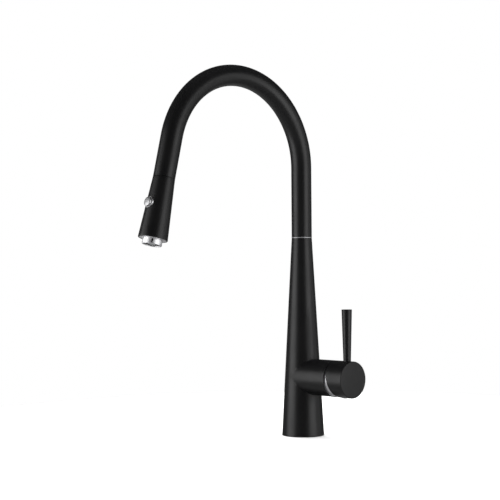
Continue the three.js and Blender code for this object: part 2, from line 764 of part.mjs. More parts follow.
place(faucet, 'swivel_ring', swivelRing, CHROME());
place(faucet, 'spout_nipple', spoutNipple(), BRASS());
place(faucet, 'upper_swivel_bush', swivelBush(upperBush), WHITE_PLASTIC());
place(faucet, 'lower_swivel_bush', swivelBush(lowerBush), WHITE_PLASTIC());
place(faucet, 'friction_ring', frictionRing(), RUBBER());
place(faucet, 'spout_clip', spoutClip(), STEEL());
place(faucet, 'spout_tube', spoutTube(), BLACK());
place(faucet, 'pullout_hose', pulloutHose(), BRAID());

// ---- Hose end, in the head's own frame --------------------------------------------------

const dockBushOuter = neckBoreR - GAP;
const dockBushInner = dockBushOuter - DOCK_BUSH_WALL;
const dockBushEnd = -2 * GAP;
const neckR = dockBushInner - RUN;
const socketR = neckR - NECK_WALL;
const nutR = socketR - RUN;
const nutFlangeR = hoseR + GAP + FERRULE_WALL;
const nutShoulder = -DOCK_LENGTH - WIDE_GAP;
const nutStart = nutShoulder - HOSE_NUT_FLANGE;
const nutEnd = nutShoulder + HOSE_NUT_SHANK;
const ferruleEnd = nutStart - GAP;
const ferruleStart = ferruleEnd - FERRULE_LENGTH;
const socketEnd = nutEnd + 2 * HOSE_SEAL_R + 2 * GAP;

function dockBush() {
  return ring(dockBushInner, dockBushOuter, dockBushEnd - DOCK_BUSH_LENGTH, dockBushEnd);
}

function hoseNut() {
  return turned([
    [HOSE_NUT_BORE_R, nutStart],
    [nutFlangeR, nutStart],
    [nutFlangeR, nutShoulder],
    [nutR, nutShoulder],
    [nutR, nutEnd],
    [HOSE_NUT_BORE_R, nutEnd],
    [HOSE_NUT_BORE_R, nutStart],
  ]);
}

const hoseEnd = rod(hoseR, GAP - OUTLET_LEG, ferruleEnd - GAP, HOSE_SIDES);
const hoseFerrule = ring(hoseR + GAP, nutFlangeR, ferruleStart, ferruleEnd, COARSE);
const hoseSeal = seal(nutR - HOSE_SEAL_R - GAP, HOSE_SEAL_R, nutEnd + GAP + HOSE_SEAL_R);
place(head, 'dock_bush', dockBush(), GREY_PLASTIC());
place(head, 'hose_end', hoseEnd, BRAID());
place(head, 'hose_ferrule', hoseFerrule, STEEL());
place(head, 'hose_nut', hoseNut(), BRASS());
place(head, 'hose_seal', hoseSeal, RUBBER());

// ---- Spray head -------------------------------------------------------------------------

const headTaper = (HEAD_END_R - TUBE_R) / HEAD_LENGTH;
const headRadius = (along) => TUBE_R + headTaper * along;
const headStart = GAP / 2;
const headRoof = headStart + HEAD_WALL;
const plateR = HEAD_END_R - END_PLATE_RIM - GAP;
const plateEnd = HEAD_LENGTH - GAP;
const plateStart = plateEnd - END_PLATE_THICKNESS;
const coreStart = headRoof + GAP;
const coreEnd = plateStart - CORE_SHORT;
const buttonTilt = Math.atan(headTaper);
const buttonPlace = new THREE.Vector3(0, headRadius(BUTTON_AT), BUTTON_AT);
const bezelInner = BUTTON_R + GAP;
const bezelOuter = bezelInner + BEZEL_WALL;
const holeR = bezelOuter + GAP;
const spoolFoot = BUTTON_DEPTH + GAP + SPOOL_LENGTH;

// Pieces that lie across the head at the button: their own +Z points out of it.
function atButton(geometry) {
  geometry.rotateX(-(Math.PI / 2 + buttonTilt));
  return geometry.translate(buttonPlace.x, buttonPlace.y, buttonPlace.z);
}

function headShell() {
  const inside = (along) => headRadius(along) - HEAD_WALL;
  const recess = plateStart - GAP;
  const recessR = HEAD_END_R - END_PLATE_RIM;
  const shell = turned([
    [neckR + RUN, headStart],
    [headRadius(headStart), headStart],
    [headRadius(HEAD_LENGTH - RIM_EDGE), HEAD_LENGTH - RIM_EDGE],
    [HEAD_END_R - RIM_EDGE, HEAD_LENGTH],
    [recessR, HEAD_LENGTH],
    [recessR, recess],
    [inside(recess), recess],
    [inside(headRoof), headRoof],
    [neckR + RUN, headRoof],
    [neckR + RUN, headStart],
  ], FINE);
  return cut(shell, atButton(rod(holeR, -BUTTON_DEPTH - PAST, 2 * PAST)));
}

const aeratorEnd = HEAD_LENGTH + AERATOR_PROUD;
const aeratorStart = HEAD_LENGTH - AERATOR_HELD;
const aeratorBoreR = AERATOR_R + GAP;
const aeratorStep = aeratorStart - 2 * GAP - 2 * HOSE_SEAL_R;
const chamberOutletR = aeratorBoreR - SEAL_LEDGE;
const mixStart = BUTTON_AT + holeR + MIX_WALL;

// The moulded water body inside the shell: neck, passage, valve chamber and outlet.
function headCore() {
  const outside = (along) => headRadius(along) - HEAD_WALL - GAP;
  const core = turned([
    [socketR, -DOCK_LENGTH],
    [neckR, -DOCK_LENGTH],
    [neckR, coreStart],
    [outside(coreStart), coreStart],
    [outside(coreEnd), coreEnd],
    [aeratorBoreR, coreEnd],
    [aeratorBoreR, aeratorStep],
    [chamberOutletR, aeratorStep],
    [chamberOutletR, mixStart],
    [PASSAGE_R, mixStart],
    [PASSAGE_R, socketEnd],
    [socketR, socketEnd],
    [socketR, -DOCK_LENGTH],
  ], FINE);
  const pocket = atButton(rod(holeR, -BUTTON_DEPTH - SPRING_ROOM, 2 * PAST));
  const reach = spoolFoot + BUTTON_TRAVEL + GAP;
  const spoolBore = atButton(rod(SPOOL_R + GAP, -reach, PAST, COARSE));
  return cut(core, pocket, spoolBore);
}

function checkValve() {
  const start = socketEnd + WIDE_GAP;
  const end = start + CHECK_VALVE_LENGTH;
  const body = PASSAGE_R - GAP;
  const waist = body - CHECK_VALVE_WAIST;
  const slopeEnd = CHECK_VALVE_LAND + CHECK_VALVE_WAIST;
  return turned([
    [0, start],
    [body, start],
    [body, start + CHECK_VALVE_LAND],
    [waist, start + slopeEnd],
    [waist, end - slopeEnd],
    [body, end - CHECK_VALVE_LAND],
    [body, end],
    [0, end],
  ], COARSE);
}

class Coil extends THREE.Curve {
  getPoint(t) {
    const turn = t * SPRING_TURNS * 2 * Math.PI;
    const radius = SPOOL_R + SPRING_CLEAR + SPRING_WIRE_R;
    const top = -(BUTTON_DEPTH + GAP + SPRING_WIRE_R);
    const length = SPRING_ROOM - 2 * (GAP + SPRING_WIRE_R);
    return new THREE.Vector3(radius * Math.cos(turn), radius * Math.sin(turn), top - length * t);
  }
}

function buttonSpring() {
  const steps = SPRING_TURNS * SPRING_STEPS;
  return alongPath(circle(SPRING_WIRE_R), new Coil(), steps, SPRING_SIDES);
}

// The chrome push button: a low dome on a short drum.
function sprayButton() {
  const rise = BUTTON_PROUD - BUTTON_SHOULDER;
  const crown = [];
  for (let i = 0; i < CROWN_STEPS; i += 1) {
    const turn = (i / CROWN_STEPS) * (Math.PI / 2);
    crown.push([BUTTON_R * Math.cos(turn), BUTTON_SHOULDER + rise * Math.sin(turn)]);
  }
  return turned([
    [0, -BUTTON_DEPTH],
    [BUTTON_R, -BUTTON_DEPTH],
    ...crown,
    [0, BUTTON_PROUD],
  ]);
}

const bezel = ring(bezelInner, bezelOuter, -BUTTON_DEPTH, BEZEL_PROUD);
const spool = rod(SPOOL_R, -spoolFoot, -BUTTON_DEPTH - GAP, COARSE);
const endPlate = ring(aeratorBoreR, plateR, plateStart, plateEnd, FINE);
place(head, 'head_shell', headShell(), BLACK());
place(head, 'head_core', headCore(), WHITE_PLASTIC());
place(head, 'check_valve', checkValve(), GREY_PLASTIC());
place(head, 'button_bezel', atButton(bezel), CHROME());
place(head, 'button_spring', atButton(buttonSpring()), STEEL());
place(head, 'spray_button', atButton(sprayButton()), CHROME());
place(head, 'diverter_spool', atButton(spool), WHITE_PLASTIC());
place(head, 'end_plate', endPlate, CHROME());

// The chrome nose that holds the outlets, with notches for the key that unscrews it.
function aeratorHousing() {
  const inner = AERATOR_R - AERATOR_WALL;
  const nose = turned([
    [inner, aeratorStart],
    [AERATOR_R, aeratorStart],
    [AERATOR_R, aeratorEnd - NOSE_EDGE],
    [AERATOR_R - NOSE_EDGE, aeratorEnd],
    [inner, aeratorEnd],
    [inner, aeratorStart],
  ], FINE);
  const middle = aeratorEnd - NOTCH_LIP - NOTCH_HEIGHT / 2;
  const notches = [];
  for (let i = 0; i < NOTCHES; i += 1) {
    const notch = new THREE.BoxGeometry(2 * AERATOR_WALL, NOTCH_WIDTH, NOTCH_HEIGHT);
    notch.translate(AERATOR_R, 0, middle).rotateZ(NOTCH_TURN + (i / NOTCHES) * 2 * Math.PI);
    notches.push(notch);
  }
  return cut(nose, ...notches);
}

const insertR = AERATOR_R - AERATOR_WALL - GAP;
const nozzleFace = aeratorEnd - NOZZLE_SET_BACK;

// The soft ring of spray nozzles around the stream insert.
function nozzleDisc() {
  const inner = STREAM_R + GAP;
  const disc = ring(inner, insertR, nozzleFace - NOZZLE_DISC_THICKNESS, nozzleFace);
  const nubs = [];
  for (let i = 0; i < NOZZLES; i += 1) {
    const nub = rod(NOZZLE_R, nozzleFace - PAST, nozzleFace + NOZZLE_PROUD, NOZZLE_SIDES);
    nubs.push(nub.translate((inner + insertR) / 2, 0, 0).rotateZ((i / NOZZLES) * 2 * Math.PI));
  }
  return join(disc, ...nubs);
}

function aeratorSeal() {
  const middle = AERATOR_R - HOSE_SEAL_R;
  return seal(middle, HOSE_SEAL_R, aeratorStart - GAP - HOSE_SEAL_R, MEDIUM);
}

const streamInsert = rod(STREAM_R, aeratorStart + STREAM_SHORT, nozzleFace + STREAM_PROUD);
place(head, 'aerator_housing', aeratorHousing(), CHROME());
place(head, 'stream_insert', streamInsert, GREY_PLASTIC());
place(head, 'nozzle_disc', nozzleDisc(), RUBBER());
place(head, 'aerator_seal', aeratorSeal(), RUBBER());

export default faucet;
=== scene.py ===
# A pull-down kitchen faucet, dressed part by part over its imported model, in metres.
import json
import math

import bmesh
import bpy
import numpy as np
from mathutils import Matrix, Vector


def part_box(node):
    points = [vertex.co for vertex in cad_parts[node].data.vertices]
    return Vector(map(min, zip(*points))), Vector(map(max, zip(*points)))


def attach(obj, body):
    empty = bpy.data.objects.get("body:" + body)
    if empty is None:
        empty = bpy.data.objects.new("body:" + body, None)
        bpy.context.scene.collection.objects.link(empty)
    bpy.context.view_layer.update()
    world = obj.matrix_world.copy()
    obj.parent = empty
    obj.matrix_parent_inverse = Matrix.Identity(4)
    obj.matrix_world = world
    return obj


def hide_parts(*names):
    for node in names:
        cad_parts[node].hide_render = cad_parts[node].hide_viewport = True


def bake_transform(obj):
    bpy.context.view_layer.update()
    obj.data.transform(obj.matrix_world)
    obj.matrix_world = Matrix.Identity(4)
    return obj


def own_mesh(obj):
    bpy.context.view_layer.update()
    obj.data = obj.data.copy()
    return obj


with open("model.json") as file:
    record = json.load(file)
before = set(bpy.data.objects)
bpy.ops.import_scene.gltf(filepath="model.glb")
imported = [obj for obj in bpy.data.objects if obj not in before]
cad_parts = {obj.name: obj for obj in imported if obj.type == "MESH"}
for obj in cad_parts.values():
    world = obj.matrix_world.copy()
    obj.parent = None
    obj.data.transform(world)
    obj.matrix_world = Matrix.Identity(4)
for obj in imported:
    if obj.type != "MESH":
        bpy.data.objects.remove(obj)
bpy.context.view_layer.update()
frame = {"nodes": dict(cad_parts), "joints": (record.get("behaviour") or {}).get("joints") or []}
joints = {j["name"]: j for j in frame["joints"]}
scene = bpy.context.scene
MM = 0.001


# The viewpoint: a long lens standing about a metre and a half off, level with the middle of
# the body, a little to the handle's side of the spout. It is turned slightly left and up.
DISTANCE = 1.4297
EYE_HEIGHT = 0.1906
EYE_BEARING = math.radians(45.31)
TURN_LEFT = math.radians(2.58)
TILT_UP = math.radians(1.53)
LEAN = math.radians(-0.36)
LENS = 82.84

eye_data = bpy.data.cameras.new("viewpoint")
eye = bpy.data.objects.new("viewpoint", eye_data)
scene.collection.objects.link(eye)
eye_data.sensor_width = 36
eye_data.lens = LENS
eye_data.clip_start = 0.05
eye_data.clip_end = 50
sight = Vector((-math.sin(EYE_BEARING), math.cos(EYE_BEARING), 0))
side = Vector((math.cos(EYE_BEARING), math.sin(EYE_BEARING), 0))
upright = Vector((0, 0, 1))
ahead = sight * math.cos(TURN_LEFT) - side * math.sin(TURN_LEFT)
right = side * math.cos(TURN_LEFT) + sight * math.sin(TURN_LEFT)
look = ahead * math.cos(TILT_UP) + upright * math.sin(TILT_UP)
up = upright * math.cos(TILT_UP) - ahead * math.sin(TILT_UP)
across = right * math.cos(LEAN) + up * math.sin(LEAN)
over = up * math.cos(LEAN) - right * math.sin(LEAN)
place = Matrix((across, over, -look)).transposed().to_4x4()
place.translation = -sight * DISTANCE + upright * EYE_HEIGHT
eye.matrix_world = place
scene.camera = eye


# The body: a slim cone of cast brass with the valve barrel across it, bored out for the hose
# and the cartridge, linished smooth and powder coated matte black.
WALL = 2.6 * MM
BARREL_R = 22 * MM
NECK_BORE_R = 11.3 * MM
NECK_BORE = 39.7 * MM
CARTRIDGE_BORE_R = 17.8 * MM
NUT_BORE_R = 19.8 * MM
NUT_BORE = 10.5 * MM
DOME_SEAT_R = 21.3 * MM
DOME_SEAT = 0.9 * MM
body_low, body_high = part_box("body_shell")
ring_low, ring_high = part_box("swivel_ring")
base_r = -body_low.x
neck_r = ring_high.x
valve = Vector(joints["handle_tilt"]["pos_m"])
axis_z = valve.z
body_top = ring_low.z - 0.04 * MM


def eased(corners, steps=5):
    """A half section's points from (radius, height, ease) corners: each is rounded by its ease."""
    points = []
    count = len(corners)
    for i, (r, h, ease) in enumerate(corners):
        corner = Vector((r, h))
        if ease <= 0:
            points.append(corner)
            continue
        before = (Vector(corners[i - 1][:2]) - corner).normalized()
        after = (Vector(corners[(i + 1) % count][:2]) - corner).normalized()
        a = corner + before * ease
        b = corner + after * ease
        for k in range(steps + 1):
            t = k / steps
            points.append(a * (1 - t) ** 2 + corner * 2 * t * (1 - t) + b * t ** 2)
    return points


def spun(name, corners, place=None, facets=128, ring=False):
    """A solid turned about Z from a half section, from axis to axis or, as a ring, closed."""
    points = eased(corners)
    shape = bmesh.new()
    rows = []
    for p in points:
        if p.x < 1e-9:
            rows.append([shape.verts.new((0, 0, p.y))])
            continue
        turns = [2 * math.pi * k / facets for k in range(facets)]
        rows.append([shape.verts.new((p.x * math.cos(t), p.x * math.sin(t), p.y)) for t in turns])
    pairs = list(zip(rows, rows[1:]))
    if ring:
        pairs.append((rows[-1], rows[0]))
    for low, high in pairs:
        for k in range(facets):
            n = (k + 1) % facets
            corners_here = [low[k % len(low)], low[n % len(low)], high[n % len(high)], high[k % len(high)]]
            face = list(dict.fromkeys(corners_here))
            if len(face) > 2:
                shape.faces.new(face)
    if place is not None:
        shape.transform(place)
    bmesh.ops.recalc_face_normals(shape, faces=shape.faces)
    mesh = bpy.data.meshes.new(name)
    shape.to_mesh(mesh)
    shape.free()
    piece = bpy.data.objects.new(name, mesh)
    scene.collection.objects.link(piece)
    return piece


def smooth(piece, angle=32):
    """Soft shading, with every edge sharper than the angle kept crisp."""
    piece.data.polygons.foreach_set("use_smooth", [True] * len(piece.data.polygons))
    piece.data.set_sharp_from_angle(angle=math.radians(angle))
    return piece


def settled(piece):
    """The piece with its modifiers made part of its mesh."""
    evaluated = piece.evaluated_get(bpy.context.evaluated_depsgraph_get())
    mesh = bpy.data.meshes.new_from_object(evaluated)
    piece.modifiers.clear()
    piece.data = mesh
    mesh.name = piece.name
    return piece


def worked(piece, tools, how="DIFFERENCE"):
    """The piece with each tool cut away from it, or joined to it."""
    for tool in tools:
        step = piece.modifiers.new(how.lower(), "BOOLEAN")
        step.object = tool
        step.operation = how
        step.solver = "EXACT"
        settled(piece)
        bpy.data.objects.remove(tool)
    return piece


def surface(name, colour, roughness, metallic=0.0, ior=1.5):
    """A new finish: its material, its shader and the object's own coordinates."""
    material = bpy.data.materials.new(name)
    material.use_nodes = True
    nodes = material.node_tree.nodes
    shader = nodes["Principled BSDF"]
    shader.inputs["Base Color"].default_value = (*colour, 1)
    shader.inputs["Roughness"].default_value = roughness
    shader.inputs["Metallic"].default_value = metallic
    shader.inputs["IOR"].default_value = ior
    place = nodes.new("ShaderNodeTexCoord").outputs["Object"]
    return material, shader, place


def grain(material, place, size, detail=2.0):
    """Noise whose lumps are about size across."""
    noise = material.node_tree.nodes.new("ShaderNodeTexNoise")
    noise.inputs["Scale"].default_value = 1 / size
    noise.inputs["Detail"].default_value = detail
    material.node_tree.links.new(place, noise.inputs["Vector"])
    return noise.outputs["Fac"]


def between(material, amount, low, high):
    """A noise value carried onto the range from low to high."""
    step = material.node_tree.nodes.new("ShaderNodeMapRange")
    step.inputs["From Min"].default_value = 0.3
    step.inputs["From Max"].default_value = 0.7
    step.inputs["To Min"].default_value = low
    step.inputs["To Max"].default_value = high
    material.node_tree.links.new(amount, step.inputs["Value"])
    return step.outputs["Result"]


def two_tone(material, shader, amount, dark, light):
    """The base colour moved between two close tones."""
    mix = material.node_tree.nodes.new("ShaderNodeMix")
    mix.data_type = "RGBA"
    mix.inputs[6].default_value = (*dark, 1)
    mix.inputs[7].default_value = (*light, 1)
    material.node_tree.links.new(amount, mix.inputs[0])
    material.node_tree.links.new(mix.outputs[2], shader.inputs["Base Color"])


def raised(material, shader, height, depth, strength=1.0):
    """Relief of a real depth in metres."""
    bump = material.node_tree.nodes.new("ShaderNodeBump")
    bump.inputs["Strength"].default_value = strength
    bump.inputs["Distance"].default_value = depth
    material.node_tree.links.new(height, bump.inputs["Height"])
    material.node_tree.links.new(bump.outputs["Normal"], shader.inputs["Normal"])


def powder_coat():
    """Matte black powder coat: a fine orange peel that breaks the gloss up evenly."""
    material, shader, place = surface("black_powder_coat", (0.003, 0.003, 0.0031), 0.38, ior=1.3)
    links = material.node_tree.links
    fine = grain(material, place, 0.9 * MM, 3)
    broad = grain(material, place, 22 * MM, 2)
    links.new(between(material, broad, 0.35, 0.41), shader.inputs["Roughness"])
    two_tone(material, shader, fine, (0.0022, 0.0022, 0.0024), (0.0042, 0.0042, 0.0044))
    raised(material, shader, fine, 0.012 * MM, 0.6)
    return material


def dressed(piece, material, body, nodes=()):
    """The material on, the piece on its body, and the CAD nodes that it stands for hidden."""
    piece.data.materials.clear()
    piece.data.materials.append(material)
    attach(piece, body)
    if nodes:
        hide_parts(*nodes)
    return piece


black_coat = powder_coat()
along_barrel = Matrix.Translation((0, 0, axis_z)) @ Matrix.Rotation(math.pi / 2, 4, "Y")


def cone_r(height):
    """The cone's radius at a height."""
    return base_r + (neck_r - base_r) * height / body_top


body_rows = 60
cone_side = [(cone_r(body_top * k / body_rows), body_top * k / body_rows, 0) for k in range(1, body_rows)]
barrel_end = body_high.x
casting = spun(
    "faucet_body_casting",
    [(0, 0, 0), (base_r, 0, 0.5 * MM), *cone_side, (neck_r, body_top, 0.12 * MM), (0, body_top, 0)],
)
barrel_rows = [(BARREL_R, barrel_end * k / 16, 0) for k in range(1, 16)]
barrel = spun(
    "barrel",
    [(0, 0, 0), (BARREL_R, 0, 0), *barrel_rows, (BARREL_R, barrel_end, 0.3 * MM), (0, barrel_end, 0)],
    along_barrel,
)
worked(casting, [barrel], "UNION")
bore_step = body_top - NECK_BORE
over_run = 1 * MM
hollow = spun(
    "hollow",
    [
        (0, -over_run, 0),
        (cone_r(-over_run) - WALL, -over_run, 0),
        (cone_r(bore_step) - WALL, bore_step, 0),
        (NECK_BORE_R, bore_step, 0),
        (NECK_BORE_R, body_top + over_run, 0),
        (0, body_top + over_run, 0),
    ],
)
block_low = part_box("waterway_block")[0]
bore_foot = block_low.x - 0.3 * MM
cartridge_bore = spun(
    "cartridge_bore",
    [
        (0, bore_foot, 0),
        (CARTRIDGE_BORE_R, bore_foot, 0),
        (CARTRIDGE_BORE_R, barrel_end - NUT_BORE, 0),
        (NUT_BORE_R, barrel_end - NUT_BORE, 0),
        (NUT_BORE_R, barrel_end - DOME_SEAT, 0),
        (DOME_SEAT_R, barrel_end - DOME_SEAT, 0),
        (DOME_SEAT_R, barrel_end + over_run, 0),
        (0, barrel_end + over_run, 0),
    ],
    along_barrel,
)
worked(casting, [hollow, cartridge_bore])
dressed(smooth(casting), black_coat, "faucet_body", ["body_shell"])


# The base: a soft rubber ring that seals to the deck and the machined brass flange above it,
# which takes the two fixing studs and lets hose and pipes through.
GASKET_WIDTH = 1.8 * MM


def rubber():
    """Moulded black rubber, dull, with a faint bloom."""
    material, shader, place = surface("moulded_rubber", (0.018, 0.018, 0.018), 0.7)
    bloom = grain(material, place, 4 * MM, 4)
    two_tone(material, shader, bloom, (0.014, 0.014, 0.014), (0.026, 0.026, 0.025))
    raised(material, shader, grain(material, place, 0.25 * MM, 2), 0.01 * MM, 0.5)
    return material


def machined_brass():
    """Turned brass: warm, with fine tool marks and a slight tarnish."""
    material, shader, place = surface("machined_brass", (0.62, 0.47, 0.22), 0.3, 1.0)
    links = material.node_tree.links
    tarnish = grain(material, place, 9 * MM, 4)
    two_tone(material, shader, tarnish, (0.52, 0.38, 0.17), (0.68, 0.53, 0.27))
    links.new(between(material, tarnish, 0.24, 0.4), shader.inputs["Roughness"])
    raised(material, shader, grain(material, place, 0.2 * MM, 2), 0.004 * MM, 0.5)
    return material


def covered(node, material):
    """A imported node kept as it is, with its finish laid over it."""
    piece = frame["nodes"][node]
    piece.data.materials.clear()
    piece.data.materials.append(material)
    return piece


black_rubber = rubber()
brass = machined_brass()
gasket_low, gasket_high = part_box("base_gasket")
gasket = spun(
    "base_gasket_ring",
    [
        (gasket_high.x - GASKET_WIDTH, gasket_low.z, 0.3 * MM),
        (gasket_high.x, gasket_low.z, 0.3 * MM),
        (gasket_high.x, gasket_high.z, 0.3 * MM),
        (gasket_high.x - GASKET_WIDTH, gasket_high.z, 0.3 * MM),
    ],
    ring=True,
)
dressed(smooth(gasket), black_rubber, "faucet_body", ["base_gasket"])
for part in ("deck_flange", "waterway_block", "hot_inlet_tube", "cold_inlet_tube", "mixed_outlet_tube"):
    covered(part, brass)


# The 35 mm mixer cartridge in the barrel: a moulded housing clamped by a brass nut, a fixed
# and a sliding disc of lapped ceramic, and the carrier and stem that the handle works.
def moulded(name, dark, light, roughness):
    """Injection moulded plastic with a fine spark-eroded texture."""
    material, shader, place = surface(name, light, roughness)
    texture = grain(material, place, 0.35 * MM, 2)
    two_tone(material, shader, grain(material, place, 12 * MM, 2), dark, light)
    raised(material, shader, texture, 0.008 * MM, 0.6)
    return material


def lapped_ceramic():
    """White alumina, lapped to a soft shine."""
    material, shader, place = surface("lapped_ceramic", (0.86, 0.85, 0.82), 0.22)
    speckle = grain(material, place, 0.3 * MM, 3)
    two_tone(material, shader, speckle, (0.80, 0.79, 0.76), (0.88, 0.87, 0.84))
    raised(material, shader, speckle, 0.002 * MM, 0.4)
    return material


def stainless_steel():
    """Plain stainless steel with fine drawn scratches along the part."""
    material, shader, place = surface("stainless_steel", (0.55, 0.56, 0.57), 0.32, 1.0)
    links = material.node_tree.links
    stretch = material.node_tree.nodes.new("ShaderNodeMapping")
    stretch.inputs["Scale"].default_value = (0.06, 1, 1)
    links.new(place, stretch.inputs["Vector"])
    lines = grain(material, stretch.outputs["Vector"], 0.12 * MM, 3)
    links.new(between(material, lines, 0.26, 0.4), shader.inputs["Roughness"])
    raised(material, shader, lines, 0.003 * MM, 0.5)
    return material


white_plastic = moulded("white_acetal", (0.68, 0.68, 0.66), (0.76, 0.76, 0.74), 0.45)
grey_plastic = moulded("grey_glass_filled_plastic", (0.095, 0.10, 0.105), (0.125, 0.13, 0.135), 0.5)
ceramic = lapped_ceramic()
steel = stainless_steel()
covered("cartridge_housing", grey_plastic)
covered("cartridge_nut", brass)
for part in ("fixed_disc", "moving_disc"):
    covered(part, ceramic)
for part in ("disc_coupler", "lever_carrier", "diverter_spool"):
    covered(part, white_plastic)
for part in ("pivot_pin", "valve_stem", "set_screw", "spout_clip"):
    covered(part, steel)
for part in ("hot_port_seal", "cold_port_seal", "outlet_port_seal"):
    covered(part, black_rubber)
for part in ("friction_ring", "hose_seal", "aerator_seal"):
    covered(part, black_rubber)


# The bright dome over the cartridge nut: spun brass, linished and chromed. Its flange is let
# into the barrel's end, and its ball is centred on the stem's pivot, so the handle cup tilts
# round it with an even gap.
DOME_R = 20.2 * MM
DOME_WALL = 1.5 * MM
SKIRT_R = 19.5 * MM
FLANGE_R = 21.2 * MM
FLANGE_THICKNESS = 0.6 * MM


def chrome_plate(name, tone):
    """Chrome over a fine linished finish: soft, broad highlights with a trace of haze."""
    material, shader, place = surface(name, (tone, tone, 1.02 * tone), 0.5, 1.0)
    links = material.node_tree.links
    haze = grain(material, place, 3 * MM, 4)
    links.new(between(material, haze, 0.46, 0.53), shader.inputs["Roughness"])
    raised(material, shader, grain(material, place, 1.6 * MM, 2), 0.0015 * MM, 0.5)
    return material


chrome = chrome_plate("soft_chrome", 0.62)
dome_low, dome_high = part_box("trim_dome")


def ball_arc(radius, start, end, steps=14):
    """(radius, height) points of a ball about the pivot, between two heights along the barrel."""
    heights = [start + (end - start) * k / steps for k in range(steps + 1)]
    return [(math.sqrt(radius ** 2 - (h - valve.x) ** 2), h, 0) for h in heights]


dome_inner = DOME_R - DOME_WALL
skirt_inner = SKIRT_R - DOME_WALL + 0.2 * MM
inner_start = valve.x + math.sqrt(dome_inner ** 2 - skirt_inner ** 2)
dome = spun(
    "valve_trim_dome",
    [
        (skirt_inner, dome_low.x, 0),
        (SKIRT_R, dome_low.x, 0),
        (SKIRT_R, barrel_end - FLANGE_THICKNESS, 0),
        (FLANGE_R, barrel_end - FLANGE_THICKNESS, 0),
        (FLANGE_R, barrel_end, 0.2 * MM),
        *ball_arc(DOME_R, barrel_end, dome_high.x),
        *ball_arc(dome_inner, dome_high.x, inner_start),
    ],
    along_barrel,
    ring=True,
)
dressed(smooth(dome), chrome, "faucet_body", ["trim_dome"])


# The handle: a turned cup with a slanted rear and a tapered lever screwed into its rim, both
# powder coated. A small chrome plug underneath hides the grub screw that grips the stem.
CAP_R = 22 * MM
CAP_BORE_R = 20.6 * MM
CAP_CEILING = 68 * MM
CAP_SLANT_X = 61.2 * MM
CAP_SLANT = math.radians(12.6)
HUB_R = 7 * MM
HUB_START = 64 * MM
SOCKET = 7.2 * MM
LEVER_BASE_R = 4.5 * MM
LEVER_TOP_R = 6.2 * MM
LEVER_SINK = 0.5 * MM
TENON_R = 3.5 * MM
TENON_SEAT_R = 3.8 * MM
SEAT_GAP = 0.3 * MM
PLUG_R = 3.9 * MM
PLUG_SEAT_R = 4.0 * MM
SCREW_HOLE_R = 2.3 * MM
cap_low, cap_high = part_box("handle_cap")
lever_low, lever_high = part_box("lever")
plug_low, plug_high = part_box("index_plug")


def block(name, low, high, place=None):
    """A plain block between two corners, for cutting with."""
    shape = bmesh.new()
    bmesh.ops.create_cube(shape, size=1)
    size = Vector(high) - Vector(low)
    shape.transform(Matrix.Translation((Vector(high) + Vector(low)) / 2) @ Matrix.Diagonal((*size, 1)))
    if place is not None:
        shape.transform(place)
    mesh = bpy.data.meshes.new(name)
    shape.to_mesh(mesh)
    shape.free()
    piece = bpy.data.objects.new(name, mesh)
    scene.collection.objects.link(piece)
    return piece


cap_end = cap_high.x
cap_rows = [(CAP_R, cap_low.x + (cap_end - cap_low.x) * k / 8, 0) for k in range(1, 8)]
rear = cap_low.x - over_run
cup = spun(
    "handle_cup",
    [
        (0, HUB_START, 0),
        (HUB_R, HUB_START, 0.3 * MM),
        (HUB_R, CAP_CEILING, 0),
        (CAP_BORE_R, CAP_CEILING, 0),
        (CAP_BORE_R, rear, 0),
        (CAP_R, rear, 0),
        *cap_rows,
        (CAP_R, cap_end, 1.0 * MM),
        (0, cap_end, 0),
    ],
    along_barrel,
)
reach = 60 * MM
square_cut = block("square_cut", (-reach, -reach, axis_z - reach), (cap_low.x, reach, axis_z + reach))
lean = Matrix.Translation((CAP_SLANT_X, 0, axis_z)) @ Matrix.Rotation(-CAP_SLANT, 4, "Y")
slant_cut = block("slant_cut", (-2 * reach, -reach, -2 * reach), (0, reach, 2 * reach), lean)
half = SOCKET / 2
stem_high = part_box("valve_stem")[1]
socket_cut = block(
    "socket_cut",
    (HUB_START - over_run, -half, axis_z - half),
    (stem_high.x + 0.3 * MM, half, axis_z + half),
)
lever_x = (lever_low.x + lever_high.x) / 2
lever_seat = spun(
    "lever_seat",
    [
        (0, lever_low.z - SEAT_GAP, 0),
        (TENON_SEAT_R, lever_low.z - SEAT_GAP, 0),
        (TENON_SEAT_R, lever_high.z, 0),
        (0, lever_high.z, 0),
    ],
    Matrix.Translation((lever_x, 0, 0)),
    facets=48,
)
plug_x = (plug_low.x + plug_high.x) / 2
plug_seat = spun(
    "plug_seat",
    [
        (0, plug_low.z - over_run, 0),
        (PLUG_SEAT_R, plug_low.z - over_run, 0),
        (PLUG_SEAT_R, plug_high.z + SEAT_GAP, 0),
        (SCREW_HOLE_R, plug_high.z + SEAT_GAP, 0),
        (SCREW_HOLE_R, axis_z, 0),
        (0, axis_z, 0),
    ],
    Matrix.Translation((plug_x, 0, 0)),
    facets=48,
)
worked(cup, [square_cut, slant_cut, socket_cut, lever_seat, plug_seat])
dressed(smooth(cup), black_coat, "handle", ["handle_cap"])

